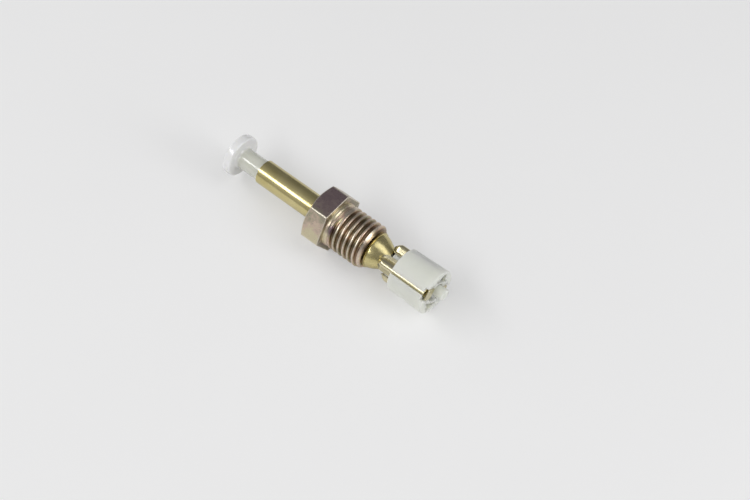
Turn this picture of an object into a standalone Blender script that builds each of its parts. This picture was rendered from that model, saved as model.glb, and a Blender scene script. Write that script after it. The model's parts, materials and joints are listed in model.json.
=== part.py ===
"""Spring-loaded plunger switch in a threaded bush. Metres, +Z up.

The switch lies on one flat of its hex with its axis along X: the plunger points to -X and the
connector to +X. Stations along the axis are measured from the hex's seat face, and one empty then
carries everything so that the origin is at the bottom centre of the whole switch.
"""
import math

import bmesh
import bpy
from mathutils import Matrix, Vector

MM = 0.001

# Clearances
SLIDE_GAP = 0.20 * MM        # round a piece that slides in another
FACE_GAP = 0.25 * MM         # between faces that rest on each other
FIT_GAP = 0.12 * MM          # round a pin that is pressed or snapped in

# Threaded bush
HEX_ACROSS_FLATS = 14.0 * MM
HEX_LENGTH = 5.7 * MM
HEX_FACE_INSET = 0.4 * MM    # the chamfer's face circle, inside the flats
HEX_CHAMFER_ANGLE = math.radians(30.0)
THREAD_DIAMETER = 11.9 * MM
THREAD_LENGTH = 11.1 * MM
THREAD_CHAMFER = 0.95 * MM
THREAD_PITCH = 1.5 * MM
THREAD_DEPTH = 0.72 * MM
THREAD_ROOT = 0.43 * MM      # width of the groove at its bottom
THREAD_FLANK = 0.32 * MM     # how far each flank leans out on its way up
THREAD_START = 2.0 * MM      # from the seat face, where the groove begins to cut in
THREAD_START_TURN = math.radians(82.0)   # there, up from the +Y side
THREAD_RUNOUT = 1 / 6        # turns over which it reaches its depth
BORE_COUNTERSINK = 0.8 * MM

# Barrel, drawn from thin tube
BARREL_DIAMETER = 6.4 * MM
BARREL_WALL = 0.3 * MM
BARREL_EXPOSED = 18.15 * MM  # from the hex to the mouth
LIP_GAP = 0.85 * MM          # from the bush's end to the lip
LIP_DIAMETER = 9.1 * MM
FLARE_LENGTH = 0.75 * MM
CONE_LENGTH = 4.5 * MM
CONE_MOUTH_DIAMETER = 5.4 * MM
CONE_BULGE = 0.05            # depth of the cone's shallow S, as a share of its fall

# Connector body
COLLAR_SETBACK = 0.95 * MM   # from the lip to the collar held in the cone
COLLAR_LENGTH = 1.4 * MM
CORE_SETBACK = 0.95 * MM     # from the cone's mouth to the square core
CORE_LENGTH = 2.35 * MM
CORE_DIAMETER = 7.2 * MM
BODY_LENGTH = 10.45 * MM
BODY_FRONT_DIAMETER = 11.2 * MM
BODY_BACK_DIAMETER = 11.8 * MM
BODY_EDGE = 0.35 * MM
CAVITY_DIAMETER = 5.1 * MM
CAVITY_WALL = 0.95 * MM      # nylon between the body's front and the cavity
MOUTH_HALF_WIDTH = 0.7 * MM  # of the cut that shows a footed strip's rib
TUNNEL_SHOULDER = 0.55 * MM  # the rib's tunnel narrows to the mouth over this height

# Contact strips
STRIP_COUNT = 4
STRIP_TURN = math.radians(42.5)   # the first strip, up from the -Y side
STRIP_THICKNESS = 0.25 * MM
STRIP_RADIUS = 3.3 * MM      # from the axis to the flange's outer face
STRIP_HALF_WIDTH = 2.2 * MM
PLAIN_REACH = 3.75 * MM      # free length in front of the body
FOOTED_REACH = 4.6 * MM
STRIP_RECESS = 1.2 * MM      # how far a plain strip ends inside its tunnel
RIB_HALF_WIDTH = 1.05 * MM
RIB_HEIGHT = 1.2 * MM
NOSE_LENGTH = 1.6 * MM       # over which the strip widens and the rib rises
NOSE_HALF_WIDTH = 0.5 * MM
NOSE_TIP = 0.05              # share of the rib's size left at the very end
NOSE_LIFT = 0.75 * MM        # how far the nose turns out, clear of the cone
SLIT_LENGTH = 0.6 * MM       # between the rib's cut end and the foot
FOOT_HALF_WIDTH = 1.5 * MM
FOOT_INNER_RADIUS = 1.9 * MM
FOOT_OUTER_RADIUS = 4.6 * MM
TONGUE_HALF_WIDTH = 0.6 * MM

# End cap
CAP_THICKNESS = 1.1 * MM
CAP_NOTCH_HALF_WIDTH = 1.25 * MM
CAP_NOTCH_DEPTH = 1.1 * MM
CAP_NOTCH_TURN = math.radians(-34.0)   # up from the -Y side
PEG_DIAMETER = 3.0 * MM
PEG_LENGTH = 2.3 * MM        # past the body
PEG_OFFSET = 0.8 * MM
PEG_EDGE = 0.3 * MM

# Plunger
HEAD_DIAMETER = 10.8 * MM
HEAD_THICKNESS = 2.2 * MM
HEAD_EDGE = 0.45 * MM
HEAD_CROWN = 0.25 * MM
STEM_EXPOSED = 6.85 * MM     # from the head to the barrel's mouth at rest
STEM_GUIDED = 10.0 * MM      # inside the barrel at rest
STEM_FILLET = 0.6 * MM
TRAVEL = 6.0 * MM

# Pull rod, moving contact and spring
ROD_DIAMETER = 1.4 * MM
ROD_TIP_DIAMETER = 1.1 * MM
ROD_SUNK = 4.0 * MM
ROD_TAIL = 0.3 * MM          # past the push nut
DISC_DIAMETER = 4.6 * MM
DISC_THICKNESS = 0.35 * MM
NUT_DIAMETER = 2.4 * MM
NUT_THICKNESS = 0.4 * MM
SEAT_DIAMETER = 6.8 * MM
SEAT_THICKNESS = 0.5 * MM
SPRING_WIRE = 0.5 * MM
SPRING_DIAMETER = 4.9 * MM   # outside
SPRING_TURNS = 12
SPRING_END_PITCH = 0.62 * MM

# Facets
ROUND_STEPS = 48
SMALL_STEPS = 24
COIL_STEPS = 18
WIRE_SIDES = 6
RIB_STEPS = 10
NOSE_STEPS = 6
THREAD_STEPS = 18

# Stations along the axis, from the seat face
HEX_FRONT = -HEX_LENGTH
BUSH_END = THREAD_LENGTH
MOUTH = HEX_FRONT - BARREL_EXPOSED
LIP = BUSH_END + LIP_GAP
FLARE = LIP - FLARE_LENGTH
CONE_MOUTH = LIP + CONE_LENGTH
COLLAR_FRONT = LIP + COLLAR_SETBACK
COLLAR_BACK = COLLAR_FRONT + COLLAR_LENGTH
CORE_FRONT = CONE_MOUTH + CORE_SETBACK
BODY_FRONT = CORE_FRONT + CORE_LENGTH
BODY_BACK = BODY_FRONT + BODY_LENGTH
CAVITY_FRONT = BODY_FRONT + CAVITY_WALL
HEAD_BACK = MOUTH - STEM_EXPOSED
HEAD_FRONT = HEAD_BACK - HEAD_THICKNESS
STEM_END = MOUTH + STEM_GUIDED
SEAT_BACK = COLLAR_FRONT - FACE_GAP
SEAT_FRONT = SEAT_BACK - SEAT_THICKNESS
DISC_FRONT = CAVITY_FRONT + FACE_GAP
DISC_BACK = DISC_FRONT + DISC_THICKNESS
NUT_FRONT = DISC_BACK + FIT_GAP
ROD_END = NUT_FRONT + NUT_THICKNESS + ROD_TAIL
TONGUE_FRONT = DISC_BACK + TRAVEL + FACE_GAP
FOOT_FRONT = BODY_BACK - STRIP_THICKNESS
FOOT_MIDDLE = BODY_BACK - STRIP_THICKNESS / 2
RIB_END = FOOT_FRONT - SLIT_LENGTH
CAP_BACK = FOOT_FRONT - FACE_GAP
PEG_END = BODY_BACK + PEG_LENGTH

# Radii that follow from what goes through or round them
HEX_CORNER = HEX_ACROSS_FLATS / 2 / math.cos(math.pi / 6)
HEX_FACE = HEX_ACROSS_FLATS / 2 - HEX_FACE_INSET
BARREL_INSIDE = BARREL_DIAMETER / 2 - BARREL_WALL
BUSH_BORE = BARREL_DIAMETER / 2 + SLIDE_GAP
STEM_RADIUS = BARREL_INSIDE - SLIDE_GAP
CONE_SLANT = math.hypot(CONE_LENGTH, (LIP_DIAMETER - CONE_MOUTH_DIAMETER) / 2) / CONE_LENGTH
NECK_RADIUS = CONE_MOUTH_DIAMETER / 2 - BARREL_WALL * CONE_SLANT - SLIDE_GAP
ROD_BORE = ROD_DIAMETER / 2 + SLIDE_GAP
ORIGIN_SHIFT = -(HEAD_FRONT - HEAD_CROWN + PEG_END) / 2


def clear_scene():
    for obj in list(bpy.data.objects):
        bpy.data.objects.remove(obj, do_unlink=True)


def finish(name, color, roughness, metallic):
    """A plain surface of one colour."""
    material = bpy.data.materials.new(name)
    material.use_nodes = True
    shader = material.node_tree.nodes["Principled BSDF"]
    shader.inputs["Base Color"].default_value = (*color, 1.0)
    shader.inputs["Roughness"].default_value = roughness
    shader.inputs["Metallic"].default_value = metallic
    return material


def carrier(name, parent=None):
    """An empty on the switch's axis that carries the pieces of one moving body."""
    empty = bpy.data.objects.new(name, None)
    bpy.context.scene.collection.objects.link(empty)
    empty.parent = parent
    return empty


def add_piece(name, bm, material, parent):
    """Put a closed bmesh into the scene as one named piece with smooth round faces."""
    bmesh.ops.remove_doubles(bm, verts=bm.verts, dist=1e-7)
    bmesh.ops.recalc_face_normals(bm, faces=bm.faces)
    mesh = bpy.data.meshes.new(name)
    bm.to_mesh(mesh)
    bm.free()
    mesh.shade_smooth()
    mesh.set_sharp_from_angle(angle=math.radians(35.0))
    obj = bpy.data.objects.new(name, mesh)
    bpy.context.scene.collection.objects.link(obj)
    if material:
        mesh.materials.append(material)
    obj.parent = parent
    return obj


def add_tool(name, bm, parent):
    """A helper solid that other pieces are cut or joined with."""
    obj = add_piece(name, bm, None, parent)
    obj.hide_render = True
    obj.display_type = "WIRE"
    return obj


def boolean(obj, tool, operation):
    modifier = obj.modifiers.new(f"{operation.lower()} {tool.name}", "BOOLEAN")
    modifier.operation = operation
    modifier.solver = "EXACT"
    modifier.object = tool


def turned(profile, steps=ROUND_STEPS, closed=True):
    """Spin a list of (station, radius) points round X.

    A closed profile runs round a ring. An open one starts and ends on the axis.
    """
    bm = bmesh.new()
    verts = [bm.verts.new((x, 0.0, r)) for x, r in profile]
    pairs = list(zip(verts, verts[1:]))
    if closed:
        pairs.append((verts[-1], verts[0]))
    edges = [bm.edges.new(pair) for pair in pairs]
    bmesh.ops.spin(bm, geom=verts + edges, cent=(0, 0, 0), axis=(1, 0, 0), angle=2 * math.pi,
                   steps=steps, use_merge=True)
    bmesh.ops.remove_doubles(bm, verts=bm.verts, dist=1e-7)
    return bm


def extruded(outline, start, end):
    """Push a closed (y, z) outline along X from one station to another."""
    bm = bmesh.new()
    face = bm.faces.new([bm.verts.new((start, y, z)) for y, z in outline])
    moved = bmesh.ops.extrude_face_region(bm, geom=[face])["geom"]
    bmesh.ops.translate(bm, verts=[v for v in moved if isinstance(v, bmesh.types.BMVert)],
                        vec=(end - start, 0, 0))
    return bm


def block(x_range, y_half, z_range):
    """A rectangular block, centred across Y."""
    low, high = z_range
    outline = [(-y_half, low), (y_half, low), (y_half, high), (-y_half, high)]
    return extruded(outline, *x_range)


def turn_outward(bm, angle):
    """Turn what was drawn with +Z outward so that it points up from -Y by an angle."""
    bmesh.ops.transform(bm, matrix=Matrix.Rotation(math.pi / 2 - angle, 4, "X"), verts=bm.verts)
    return bm


def arc(centre, radius, start, end, count):
    """Points along a round corner, from one angle to another, ends included."""
    points = []
    for i in range(count + 1):
        angle = start + (end - start) * i / count
        points.append((centre[0] + radius * math.cos(angle), centre[1] + radius * math.sin(angle)))
    return points


def inset(path, distance):
    """Move an open (station, radius) path towards the axis by the wall's thickness."""
    moved = []
    for i, point in enumerate(path):
        before = Vector(point) - Vector(path[i - 1]) if i else None
        after = Vector(path[i + 1]) - Vector(point) if i + 1 < len(path) else None
        normals = [Vector((s.y, -s.x)).normalized() for s in (before, after) if s]
        middle = sum(normals, Vector((0, 0))).normalized()
        reach = distance / middle.dot(normals[0])
        moved.append((point[0] + middle.x * reach, point[1] + middle.y * reach))
    return moved


def strip_angle(index):
    return STRIP_TURN + index * 2 * math.pi / STRIP_COUNT


def is_footed(index):
    """Every second strip turns in over the connector's end."""
    return index % 2 == 0


def cone_radius(station):
    """Outer radius of the rolled-in cone: a straight fall from lip to mouth with a shallow S."""
    share = (station - LIP) / CONE_LENGTH
    fall = share - CONE_BULGE * math.sin(2 * math.pi * share)
    return (LIP_DIAMETER + (CONE_MOUTH_DIAMETER - LIP_DIAMETER) * fall) / 2


def thread_groove():
    """The thread's groove as a coarse bar on a helix, from its run-out to past the shank's tip."""
    crest = THREAD_DIAMETER / 2
    root = THREAD_ROOT / 2
    bm = bmesh.new()
    rings = []
    turns = (BUSH_END + THREAD_PITCH / 2 - THREAD_START) / THREAD_PITCH
    for step in range(math.ceil(turns * THREAD_STEPS) + 1):
        turn = step / THREAD_STEPS
        cut = min(turn / THREAD_RUNOUT, 1) * (THREAD_DEPTH + FACE_GAP) - FACE_GAP / 2
        low = crest - min(cut, THREAD_DEPTH)
        high = crest + FACE_GAP
        half = root + (high - low) * THREAD_FLANK / THREAD_DEPTH
        angle = THREAD_START_TURN + 2 * math.pi * turn
        station = THREAD_START + THREAD_PITCH * turn
        ring = []
        for across, radius in ((-half, high), (-root, low), (root, low), (half, high)):
            ring.append(bm.verts.new((station + across, radius * math.cos(angle), radius * math.sin(angle))))
        rings.append(ring)
    for ring_a, ring_b in zip(rings, rings[1:]):
        for i in range(len(ring_a)):
            j = (i + 1) % len(ring_a)
            bm.faces.new((ring_a[i], ring_a[j], ring_b[j], ring_b[i]))
    bm.faces.new(rings[0])
    bm.faces.new(rings[-1])
    return bm


def make_bush(material, parent):
    """Hex with one chamfered end, thread shank with a chamfered tip, and the barrel's bore."""
    hexagon = arc((0, 0), HEX_CORNER, 0, 2 * math.pi, 6)[:-1]
    bush = add_piece("threaded_bush", extruded(hexagon, HEX_FRONT, 0), material, parent)
    chamfer = (HEX_CORNER - HEX_FACE) * math.tan(HEX_CHAMFER_ANGLE)
    envelope = [(HEX_FRONT, 0), (HEX_FRONT, HEX_FACE), (HEX_FRONT + chamfer, HEX_CORNER),
                (HEX_FRONT + chamfer, 2 * HEX_CORNER), (FACE_GAP, 2 * HEX_CORNER), (FACE_GAP, 0)]
    boolean(bush, add_tool("hex_envelope", turned(envelope, closed=False), parent), "INTERSECT")
    radius = THREAD_DIAMETER / 2
    shank = [(HEX_FRONT / 2, 0), (HEX_FRONT / 2, radius), (BUSH_END - THREAD_CHAMFER, radius),
             (BUSH_END, radius - THREAD_CHAMFER), (BUSH_END, 0)]
    boolean(bush, add_tool("thread_shank", turned(shank, closed=False), parent), "UNION")
    boolean(bush, add_tool("thread_groove", thread_groove(), parent), "DIFFERENCE")
    widest = BUSH_BORE + BORE_COUNTERSINK
    bore = [(HEX_FRONT - FACE_GAP, 0), (HEX_FRONT - FACE_GAP, BUSH_BORE),
            (BUSH_END - BORE_COUNTERSINK, BUSH_BORE), (BUSH_END, widest),
            (BUSH_END + FACE_GAP, widest), (BUSH_END + FACE_GAP, 0)]
    boolean(bush, add_tool("bush_bore", turned(bore, closed=False), parent), "DIFFERENCE")


def make_barrel(material, parent):
    """One drawn tube: straight guide, flare, lip, and the cone rolled in over the connector."""
    radius = BARREL_DIAMETER / 2
    lip = LIP_DIAMETER / 2
    outside = [(MOUTH, radius), (FLARE, radius), (LIP - BARREL_WALL, lip - BARREL_WALL / 2)]
    stations = [LIP + CONE_LENGTH * i / 8 for i in range(9)]
    outside += [(x, cone_radius(x)) for x in stations]
    inside = inset(outside, BARREL_WALL)
    add_piece("barrel", turned(outside + inside[::-1]), material, parent)


def strip_slot(mouth):
    """Room for a strip's flanges and rib; a mouth opens the rib's tunnel to the outside."""
    flange = STRIP_HALF_WIDTH + SLIDE_GAP
    rib = RIB_HALF_WIDTH + SLIDE_GAP
    floor = STRIP_RADIUS - STRIP_THICKNESS - SLIDE_GAP
    roof = STRIP_RADIUS + SLIDE_GAP
    crown = roof + RIB_HEIGHT
    half = [(flange, floor), (flange, roof), (rib, roof), (rib, crown - TUNNEL_SHOULDER),
            (MOUTH_HALF_WIDTH, crown)]
    if mouth:
        half.append((MOUTH_HALF_WIDTH, BODY_BACK_DIAMETER))
    outline = half + [(-across, out) for across, out in reversed(half)]
    return extruded(outline, CORE_FRONT - FACE_GAP, BODY_BACK + FACE_GAP)


def make_connector(material, parent):
    """Collar, neck, square core and round body in one moulding, with a tunnel for each strip.

    The footed strips' tunnels have a narrow mouth along the body, and a window where the foot turns in.
    """
    slant = BARREL_WALL * CONE_SLANT + SLIDE_GAP
    front = BODY_FRONT_DIAMETER / 2
    back = BODY_BACK_DIAMETER / 2
    cavity = CAVITY_DIAMETER / 2
    profile = [
        (COLLAR_FRONT, ROD_BORE),
        (COLLAR_FRONT, cone_radius(COLLAR_FRONT) - slant),
        (COLLAR_BACK, cone_radius(COLLAR_BACK) - slant),
        (COLLAR_BACK, NECK_RADIUS),
        (CORE_FRONT, NECK_RADIUS),
        (CORE_FRONT, CORE_DIAMETER / 2),
        (BODY_FRONT, CORE_DIAMETER / 2),
    ]
    profile += arc((BODY_FRONT + BODY_EDGE, front - BODY_EDGE), BODY_EDGE, math.pi, math.pi / 2, 3)
    profile += arc((BODY_BACK - BODY_EDGE, back - BODY_EDGE), BODY_EDGE, math.pi / 2, 0, 3)
    profile += [(BODY_BACK, cavity), (CAVITY_FRONT, cavity), (CAVITY_FRONT, ROD_BORE)]
    body = add_piece("connector_body", turned(profile), material, parent)
    for i in range(STRIP_COUNT):
        slot = turn_outward(strip_slot(is_footed(i)), strip_angle(i))
        boolean(body, add_tool(f"strip_slot_{i + 1}", slot, parent), "DIFFERENCE")
        if is_footed(i):
            window = block((RIB_END, BODY_BACK + FACE_GAP), FOOT_HALF_WIDTH + SLIDE_GAP,
                           (FOOT_INNER_RADIUS - SLIDE_GAP, 2 * back))
            tool = add_tool(f"foot_window_{i + 1}", turn_outward(window, strip_angle(i)), parent)
            boolean(body, tool, "DIFFERENCE")


def strip_section(share, rib):
    """Hat section as (outer, inner) rows; share and rib grow from the nose to the full section."""
    flange = STRIP_RADIUS + NOSE_LIFT * (1 - share)
    half = NOSE_HALF_WIDTH + (STRIP_HALF_WIDTH - NOSE_HALF_WIDTH) * share
    outer = [(-half, flange)]
    inner = [(-half, flange - STRIP_THICKNESS)]
    for i in range(RIB_STEPS + 1):
        angle = math.pi * (1 - i / RIB_STEPS)
        rise = RIB_HEIGHT * rib * math.sin(angle)
        across = share * math.cos(angle)
        outer.append((across * RIB_HALF_WIDTH, flange + rise))
        inner.append((across * (RIB_HALF_WIDTH - STRIP_THICKNESS), flange - STRIP_THICKNESS + rise))
    outer.append((half, flange))
    inner.append((half, flange - STRIP_THICKNESS))
    return outer, inner


def make_strip(index, material, parent):
    """Pressed strip with a hollow rib that fades into an upturned nose."""
    start = BODY_FRONT - (FOOTED_REACH if is_footed(index) else PLAIN_REACH)
    stations = []
    for i in range(NOSE_STEPS + 1):
        angle = math.pi / 2 * i / NOSE_STEPS
        share = max(math.sin(angle), NOSE_TIP)
        stations.append((start + NOSE_LENGTH * (1 - math.cos(angle)), share, share))
    if is_footed(index):
        stations += [(RIB_END, 1, 1), (RIB_END + STRIP_THICKNESS, 1, 0), (FOOT_MIDDLE, 1, 0)]
    else:
        stations.append((BODY_BACK - STRIP_RECESS, 1, 1))
    bm = bmesh.new()
    rows = []
    for x, share, rib in stations:
        outer, inner = strip_section(share, rib)
        rows.append([[bm.verts.new((x, y, z)) for y, z in side] for side in (outer, inner)])
    for (outer_a, inner_a), (outer_b, inner_b) in zip(rows, rows[1:]):
        loop_a = outer_a + inner_a[::-1]
        loop_b = outer_b + inner_b[::-1]
        for i in range(len(loop_a)):
            j = (i + 1) % len(loop_a)
            bm.faces.new((loop_a[i], loop_a[j], loop_b[j], loop_b[i]))
    for outer, inner in (rows[0], rows[-1]):
        for i in range(len(outer) - 1):
            bm.faces.new((outer[i], outer[i + 1], inner[i + 1], inner[i]))
    strip = add_piece(f"contact_strip_{index + 1}", turn_outward(bm, strip_angle(index)), material, parent)
    if is_footed(index):
        add_foot(strip, index, parent)


def add_foot(strip, index, parent):
    """The strip's end stands across its tunnel, and its inner edge runs forward as a tongue."""
    foot = block((FOOT_FRONT, BODY_BACK), FOOT_HALF_WIDTH, (FOOT_INNER_RADIUS, FOOT_OUTER_RADIUS))
    tongue = block((TONGUE_FRONT, FOOT_MIDDLE), TONGUE_HALF_WIDTH,
                   (FOOT_INNER_RADIUS, FOOT_INNER_RADIUS + STRIP_THICKNESS))
    for label, part in (("foot", foot), ("tongue", tongue)):
        tool = add_tool(f"{label}_{index + 1}", turn_outward(part, strip_angle(index)), parent)
        boolean(strip, tool, "UNION")


def make_end_cap(material, parent):
    """Plug in the cavity's back with an off-centre peg, a notch, and room for the two tongues."""
    radius = CAVITY_DIAMETER / 2 - FIT_GAP
    front = CAP_BACK - CAP_THICKNESS
    plate = [(front, 0), (front, radius), (CAP_BACK, radius), (CAP_BACK, 0)]
    cap = add_piece("end_cap", turned(plate, closed=False), material, parent)
    peg = PEG_DIAMETER / 2
    middle = CAP_BACK - CAP_THICKNESS / 2
    shape = [(middle, 0), (middle, peg), (PEG_END - PEG_EDGE, peg), (PEG_END, peg - PEG_EDGE), (PEG_END, 0)]
    peg_bm = turned(shape, SMALL_STEPS, closed=False)
    bmesh.ops.translate(peg_bm, verts=peg_bm.verts, vec=(0, 0, PEG_OFFSET))
    boolean(cap, add_tool("peg", turn_outward(peg_bm, strip_angle(1)), parent), "UNION")
    span = (front - FACE_GAP, CAP_BACK + FACE_GAP)
    notch = block(span, CAP_NOTCH_HALF_WIDTH, (radius - CAP_NOTCH_DEPTH, 2 * radius))
    boolean(cap, add_tool("cap_notch", turn_outward(notch, CAP_NOTCH_TURN), parent), "DIFFERENCE")
    for i in filter(is_footed, range(STRIP_COUNT)):
        room = block(span, TONGUE_HALF_WIDTH + FIT_GAP, (FOOT_INNER_RADIUS - FIT_GAP, 2 * radius))
        tool = add_tool(f"tongue_room_{i + 1}", turn_outward(room, strip_angle(i)), parent)
        boolean(cap, tool, "DIFFERENCE")


def make_plunger(material, parent):
    """Crowned head with a rounded rim, filleted stem, and a blind hole for the pull rod."""
    rim = HEAD_DIAMETER / 2
    crown = [(HEAD_FRONT - HEAD_CROWN * (1 - (i / 4) ** 2), (rim - HEAD_EDGE) * i / 4) for i in range(4)]
    profile = crown
    profile += arc((HEAD_FRONT + HEAD_EDGE, rim - HEAD_EDGE), HEAD_EDGE, math.pi, math.pi / 2, 4)
    profile += arc((HEAD_BACK - HEAD_EDGE, rim - HEAD_EDGE), HEAD_EDGE, math.pi / 2, 0, 4)
    root = (HEAD_BACK + STEM_FILLET, STEM_RADIUS + STEM_FILLET)
    profile += arc(root, STEM_FILLET, math.pi, 1.5 * math.pi, 4)
    hole = ROD_DIAMETER / 2 + FIT_GAP
    bottom = STEM_END - ROD_SUNK - FIT_GAP
    profile += [(STEM_END, STEM_RADIUS), (STEM_END, hole), (bottom, hole), (bottom, 0)]
    add_piece("plunger", turned(profile, closed=False), material, parent)


def make_rod(material, parent):
    """Straight rod with a thinner tip that carries the disc and the push nut."""
    shank = ROD_DIAMETER / 2
    tip = ROD_TIP_DIAMETER / 2
    shoulder = DISC_FRONT - FIT_GAP
    start = STEM_END - ROD_SUNK
    profile = [(start, 0), (start, shank), (shoulder, shank), (shoulder, tip), (ROD_END, tip), (ROD_END, 0)]
    add_piece("pull_rod", turned(profile, SMALL_STEPS, closed=False), material, parent)


def make_ring(name, front, thickness, outer, inner, material, parent):
    """A flat washer."""
    back = front + thickness
    profile = [(front, inner), (front, outer), (back, outer), (back, inner)]
    add_piece(name, turned(profile, SMALL_STEPS), material, parent)


def spring_station(turn, start, pitch):
    """Station of the wire after a number of turns: closed end turns, even pitch between."""
    open_turns = min(max(turn - 1, 0), SPRING_TURNS - 2)
    return start + open_turns * pitch + (turn - open_turns) * SPRING_END_PITCH


def make_spring(material, parent):
    """Round wire on a helix between the stem's end and the spring seat."""
    radius = (SPRING_DIAMETER - SPRING_WIRE) / 2
    start = STEM_END + FACE_GAP + SPRING_WIRE / 2
    end = SEAT_FRONT - FACE_GAP - SPRING_WIRE / 2
    pitch = (end - start - 2 * SPRING_END_PITCH) / (SPRING_TURNS - 2)
    bm = bmesh.new()
    rings = []
    for step in range(SPRING_TURNS * COIL_STEPS + 1):
        turn = step / COIL_STEPS
        angle = 2 * math.pi * turn
        outward = Vector((0, math.cos(angle), math.sin(angle)))
        centre = outward * radius + Vector((spring_station(turn, start, pitch), 0, 0))
        ring = []
        for side in range(WIRE_SIDES):
            around = 2 * math.pi * side / WIRE_SIDES
            offset = outward * math.cos(around) + Vector((math.sin(around), 0, 0))
            ring.append(bm.verts.new(centre + offset * SPRING_WIRE / 2))
        rings.append(ring)
    for ring_a, ring_b in zip(rings, rings[1:]):
        for i in range(WIRE_SIDES):
            j = (i + 1) % WIRE_SIDES
            bm.faces.new((ring_a[i], ring_a[j], ring_b[j], ring_b[i]))
    bm.faces.new(rings[0])
    bm.faces.new(rings[-1])
    add_piece("return_spring", bm, material, parent)


def build():
    clear_scene()
    zinc = finish("yellow zinc on steel", (0.52, 0.45, 0.38), 0.32, 1.0)
    brass = finish("drawn brass", (0.72, 0.66, 0.36), 0.25, 1.0)
    strip_brass = finish("strip brass", (0.74, 0.68, 0.45), 0.25, 1.0)
    nylon = finish("natural nylon", (0.80, 0.81, 0.77), 0.35, 0.0)
    steel = finish("bright steel", (0.60, 0.60, 0.60), 0.30, 1.0)

    switch = carrier("switch_axis")
    switch.location = (ORIGIN_SHIFT, 0, HEX_ACROSS_FLATS / 2)
    barrel = carrier("barrel_slide", switch)
    plunger = carrier("plunger_slide", barrel)

    make_bush(zinc, switch)
    make_barrel(brass, barrel)
    make_connector(nylon, barrel)
    for index in range(STRIP_COUNT):
        make_strip(index, strip_brass, barrel)
    make_end_cap(nylon, barrel)
    make_ring("spring_seat", SEAT_FRONT, SEAT_THICKNESS, SEAT_DIAMETER / 2, ROD_BORE, brass, barrel)
    make_spring(steel, barrel)
    make_plunger(nylon, plunger)
    make_rod(steel, plunger)
    tip_bore = ROD_TIP_DIAMETER / 2 + FIT_GAP
    make_ring("contact_disc", DISC_FRONT, DISC_THICKNESS, DISC_DIAMETER / 2, tip_bore, brass, plunger)
    make_ring("push_nut", NUT_FRONT, NUT_THICKNESS, NUT_DIAMETER / 2, tip_bore, steel, plunger)


build()
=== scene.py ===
import json
import math

import bmesh
import bpy
import numpy as np
from mathutils import Matrix, Vector


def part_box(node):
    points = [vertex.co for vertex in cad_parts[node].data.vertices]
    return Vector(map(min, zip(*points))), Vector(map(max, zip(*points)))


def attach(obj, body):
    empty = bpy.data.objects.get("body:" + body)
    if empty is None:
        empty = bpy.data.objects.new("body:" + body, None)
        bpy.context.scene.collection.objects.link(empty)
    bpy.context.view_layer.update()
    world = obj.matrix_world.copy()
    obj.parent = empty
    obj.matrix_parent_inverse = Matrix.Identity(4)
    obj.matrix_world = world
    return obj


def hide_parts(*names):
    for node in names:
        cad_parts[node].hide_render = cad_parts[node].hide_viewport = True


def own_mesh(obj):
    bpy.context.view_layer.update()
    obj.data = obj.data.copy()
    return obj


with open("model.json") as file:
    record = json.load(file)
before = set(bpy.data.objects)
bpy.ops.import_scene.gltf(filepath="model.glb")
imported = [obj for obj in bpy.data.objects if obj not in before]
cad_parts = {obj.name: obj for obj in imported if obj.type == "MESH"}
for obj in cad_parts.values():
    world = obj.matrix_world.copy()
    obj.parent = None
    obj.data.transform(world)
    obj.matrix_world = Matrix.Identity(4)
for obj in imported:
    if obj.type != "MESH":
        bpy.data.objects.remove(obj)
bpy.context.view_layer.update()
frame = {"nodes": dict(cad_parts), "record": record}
MM = 0.001

# Threaded bush: turned from hex steel bar, thread rolled, then zinc plated and yellow passivated,
# which leaves pink, green and straw tints. It is the root piece, and the barrel runs through its bore.
bush_low, bush_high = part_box("threaded_bush")
SEAT_X = frame["record"]["mounts"][0]["pos_m"][0]
AXIS_Z = (bush_low.z + bush_high.z) / 2
HEX_FLAT = (bush_high.z - bush_low.z) / 2
HEX_FACE = HEX_FLAT - 0.4 * MM
HEX_CHAMFER = math.tan(math.radians(30))
BORE = 3.4 * MM
BORE_CHAMFER = 0.35 * MM
COUNTERSINK = 0.8 * MM
SOCKET = 4.5 * MM                         # the hex and the shank overlap, and the hex ends round this
SOCKET_X = SEAT_X - 1.0 * MM
SHANK_X = SEAT_X - 0.5 * MM
THREAD_RADIUS = 5.95 * MM
THREAD_PITCH = 1.5 * MM
THREAD_DEPTH = 0.72 * MM
THREAD_TIP = 0.95 * MM
RIDGE = 0.09                              # height of the shank's ridges against the thread's depth
THREAD_CREST_X = SEAT_X + 5.95 * MM       # where a crest crosses the top of the near side
THREAD_CREST_TURN = math.radians(125)
THREAD_FIRST_TURN = -2.62                 # turns from that crest back to where the groove runs out


def softened(corners, cuts, steps=4):
    """Path through corners, each inner one cut back and rounded.

    Between the cut points A and C of a corner B runs the parabola (1-t)^2 A + 2t(1-t) B + t^2 C.
    One more point stands just outside A and C so that the flats beside them shade flat. A corner
    may be a whole array of points, one for each column of a surface.
    """
    corners = np.asarray(corners, float)
    t = np.linspace(0, 1, steps + 1).reshape(-1, *[1] * (corners.ndim - 1))
    path = [corners[:1]]
    for before, corner, after, cut in zip(corners, corners[1:], corners[2:], cuts):
        if cut == 0:
            path.append(corner[None])
            continue
        back, ahead = before - corner, after - corner
        back = back / np.linalg.norm(back, axis=-1, keepdims=True) * cut
        ahead = ahead / np.linalg.norm(ahead, axis=-1, keepdims=True) * cut
        path.append((corner + 1.5 * back)[None])
        path.append((1 - t) ** 2 * (corner + back) + 2 * t * (1 - t) * corner + t ** 2 * (corner + ahead))
        path.append((corner + 1.5 * ahead)[None])
    path.append(corners[-1:])
    return np.concatenate(path)


def around(stations, radii, angles):
    """Points at stations along the axis and radii from it: x, r cos(angle), axis height + r sin(angle).
    The angle runs up from the +Y side, and the three arrays are broadcast to rows by columns."""
    stations, radii, angles = np.broadcast_arrays(stations, radii, angles)
    return np.stack([stations, radii * np.cos(angles), AXIS_Z + radii * np.sin(angles)], axis=-1)


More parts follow.
